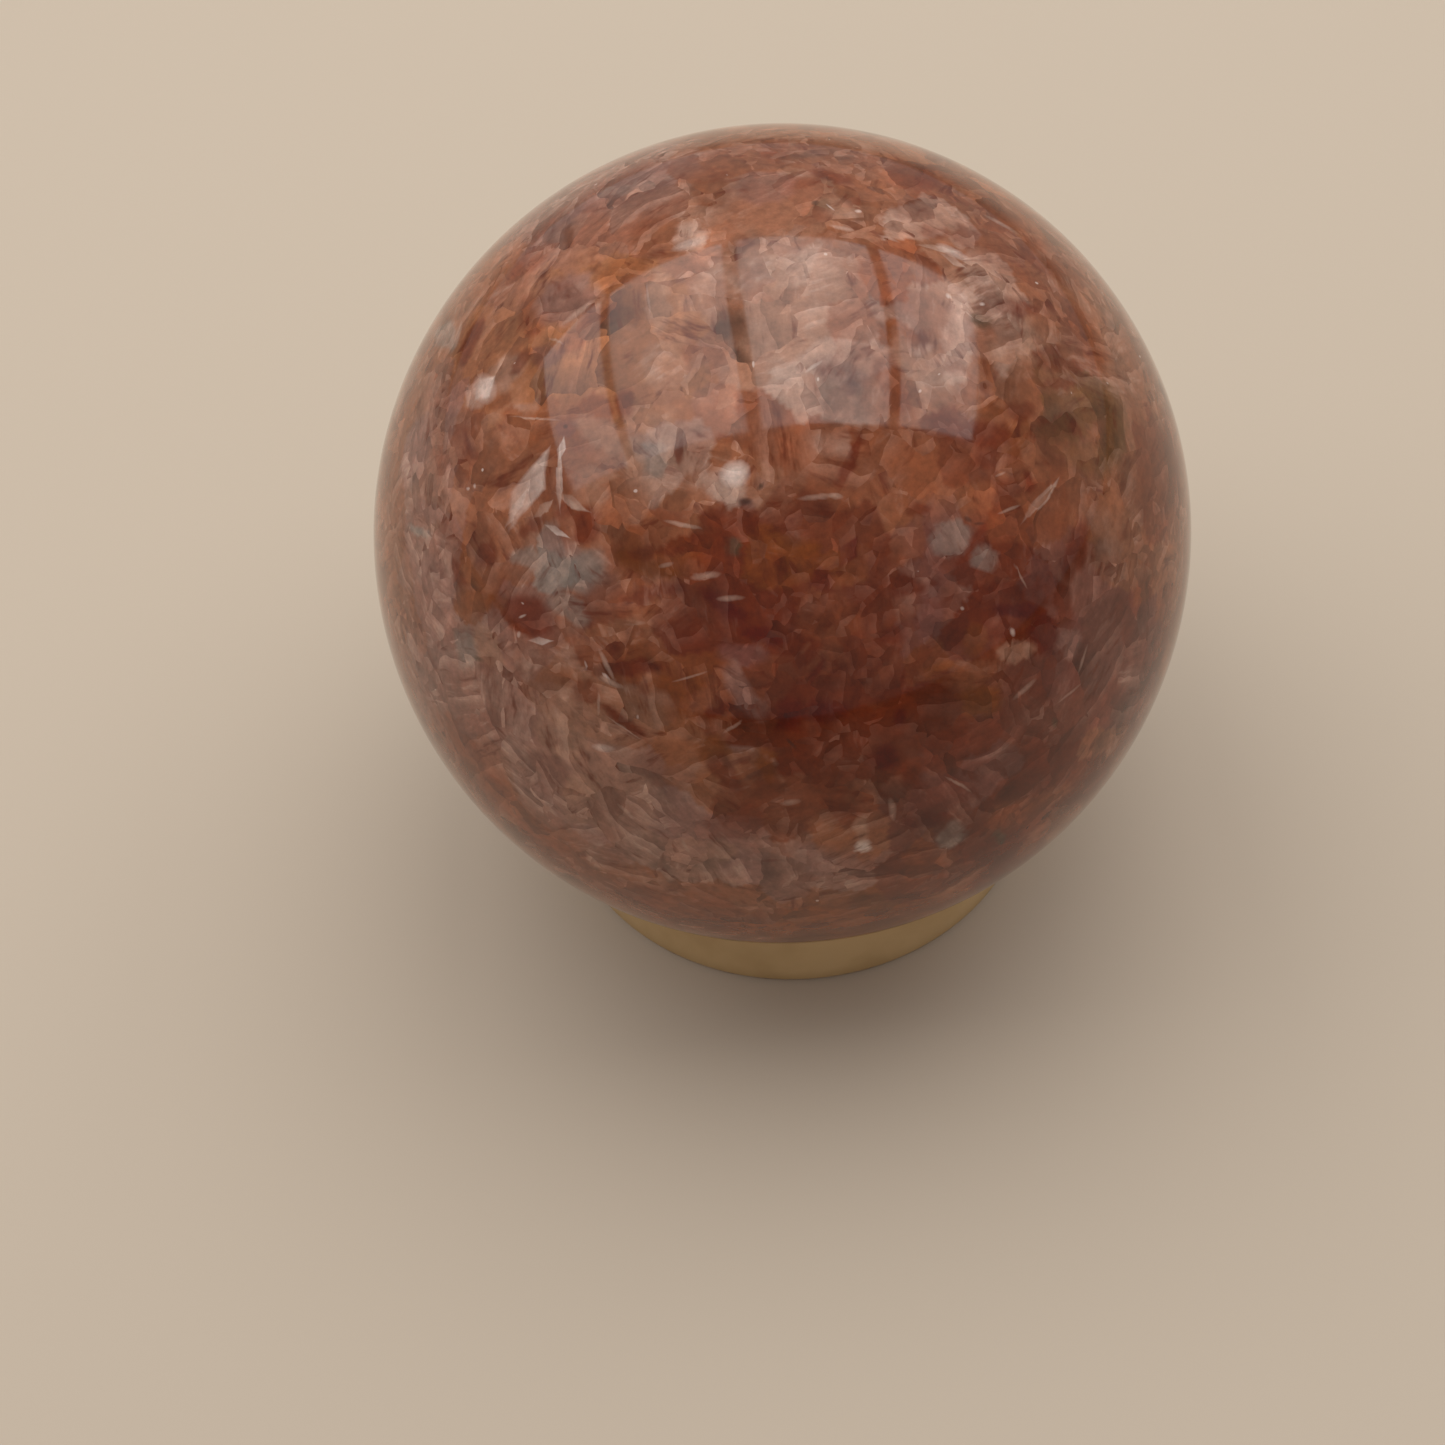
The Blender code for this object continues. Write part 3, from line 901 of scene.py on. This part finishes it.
gloss_spread = BALL_ROUGHNESS[1] - BALL_ROUGHNESS[0]
gloss = number(stone, "MULTIPLY_ADD", tint_parts[1], gloss_spread, BALL_ROUGHNESS[0])
stone.links.new(gloss, stone_shader.inputs["Roughness"])
stone_shader.inputs["IOR"].default_value = BALL_IOR
stone_shader.inputs["Subsurface Weight"].default_value = GLOW_WEIGHT
stone_shader.inputs["Subsurface Radius"].default_value = GLOW_DEPTH
stone_shader.inputs["Subsurface Scale"].default_value = GLOW_SCALE
ball_mesh.materials.append(stone_material)
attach(ball, "root")
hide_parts("stone_sphere")

# Ring stand.
# A low ring of cream plastic, turned or moulded in one piece, with a soft outer shoulder
# and a hollow seat that the ball rests in by its own weight.
RING_BASE_RADIUS = 0.0200
RING_WALL_TOP_RADIUS = 0.0194
RING_BORE_RADIUS = 0.0138
RING_HEIGHT = 0.0056
BASE_ROUND = 0.0005
CREST_ROUND = 0.0014
BORE_ROUND = 0.0004
LIP_ROUND = 0.0003
SEAT_GAP = 0.0003
RING_STEPS = 256
RING_COLOURS = [(0.40, (0.50, 0.33, 0.155)), (0.60, (0.58, 0.395, 0.195))]
FOOT_SHADE_COLOUR = (0.34, 0.20, 0.08)
FOOT_SHADE_RISE = 0.0016


def arc(centre, radius, start, end, steps):
    """Points on a circle in the ring's section, from one angle to another."""
    points = []
    for step in range(steps + 1):
        angle = start + (end - start) * step / steps
        points.append((centre[0] + radius * math.cos(angle), centre[1] + radius * math.sin(angle)))
    return points


def seat_radius_at(height):
    """Distance from the axis at which the hollow seat has this height."""
    return math.sqrt((ball_radius + SEAT_GAP) ** 2 - (ball_middle.z - height) ** 2)


def seat_height(radius):
    """Height of the hollow seat at a distance from the axis."""
    return ball_middle.z - math.sqrt((ball_radius + SEAT_GAP) ** 2 - radius**2)


QUARTER = math.pi / 2
flare = math.atan2(RING_BASE_RADIUS - RING_WALL_TOP_RADIUS, RING_HEIGHT - CREST_ROUND)
land = (seat_radius_at(RING_HEIGHT - LIP_ROUND) + LIP_ROUND, RING_HEIGHT)
ring_outline = [land]
crest_middle = (RING_WALL_TOP_RADIUS - CREST_ROUND, RING_HEIGHT - CREST_ROUND)
ring_outline += arc(crest_middle, CREST_ROUND, QUARTER, flare, 14)
ring_outline += arc((RING_BASE_RADIUS - BASE_ROUND, BASE_ROUND), BASE_ROUND, flare, -QUARTER, 8)
ring_outline += arc((RING_BORE_RADIUS + BORE_ROUND, BORE_ROUND), BORE_ROUND, -QUARTER, -2 * QUARTER, 6)
seat_inner = RING_BORE_RADIUS + LIP_ROUND
seat_outer = seat_radius_at(RING_HEIGHT - LIP_ROUND)
ring_outline.append((RING_BORE_RADIUS, seat_height(seat_inner) - LIP_ROUND))
for step in range(11):
    radius = seat_inner + (seat_outer - seat_inner) * step / 10
    ring_outline.append((radius, seat_height(radius)))

bpy.ops.object.select_all(action="DESELECT")
bpy.ops.mesh.primitive_circle_add(vertices=len(ring_outline), radius=RING_BASE_RADIUS, location=(0, 0, 0))
ring = bpy.context.object
ring.name = "cream_ring"
ring.data.name = "cream_ring"
for vertex, (radius, height) in zip(ring.data.vertices, ring_outline):
    vertex.co = (radius, 0.0, height)
bpy.ops.object.mode_set(mode="EDIT")
bpy.ops.mesh.select_all(action="SELECT")
bpy.ops.mesh.spin(steps=RING_STEPS, angle=2 * math.pi, center=(0, 0, 0), axis=(0, 0, 1))
bpy.ops.mesh.select_all(action="SELECT")
bpy.ops.mesh.remove_doubles(threshold=0.000001)
bpy.ops.mesh.normals_make_consistent(inside=False)
bpy.ops.object.mode_set(mode="OBJECT")
bpy.ops.object.shade_smooth()

ring_material = bpy.data.materials.new("cream_plastic")
ring_material.use_nodes = True
cream = ring_material.node_tree
cream_shader = cream.nodes["Principled BSDF"]
ring_place = cream.nodes.new("ShaderNodeTexCoord").outputs["Object"]
ring_cloud = cloud(cream, ring_place, 160.0, 3.0, 0.55)
cream_ramp = wire(cream, "ShaderNodeValToRGB", {0: ring_cloud.outputs[0]})
for stop, (at, colour) in zip(cream_ramp.color_ramp.elements, RING_COLOURS):
    stop.position = at
    stop.color = (*colour, 1.0)
# Darker towards the bottom of the ring: painted shade where the ring meets the floor
foot_shade = ramp(cream, dot(cream, ring_place, (0.0, 0.0, 1.0)), FOOT_SHADE_RISE, 0.0, 0.0, 0.5)
cream_colour = coloured(cream, foot_shade, cream_ramp.outputs[0], (*FOOT_SHADE_COLOUR, 1.0))
cream.links.new(cream_colour, cream_shader.inputs["Base Color"])
haze = cloud(cream, ring_place, 420.0, 3.0).outputs[0]
cream.links.new(ramp(cream, haze, 0.3, 0.7, 0.30, 0.42), cream_shader.inputs["Roughness"])
cream_shader.inputs["Subsurface Weight"].default_value = 0.10
cream_shader.inputs["Subsurface Radius"].default_value = (1.0, 0.7, 0.4)
cream_shader.inputs["Subsurface Scale"].default_value = 0.001
ring.data.materials.append(ring_material)
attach(ring, "root")
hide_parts("ring_stand")
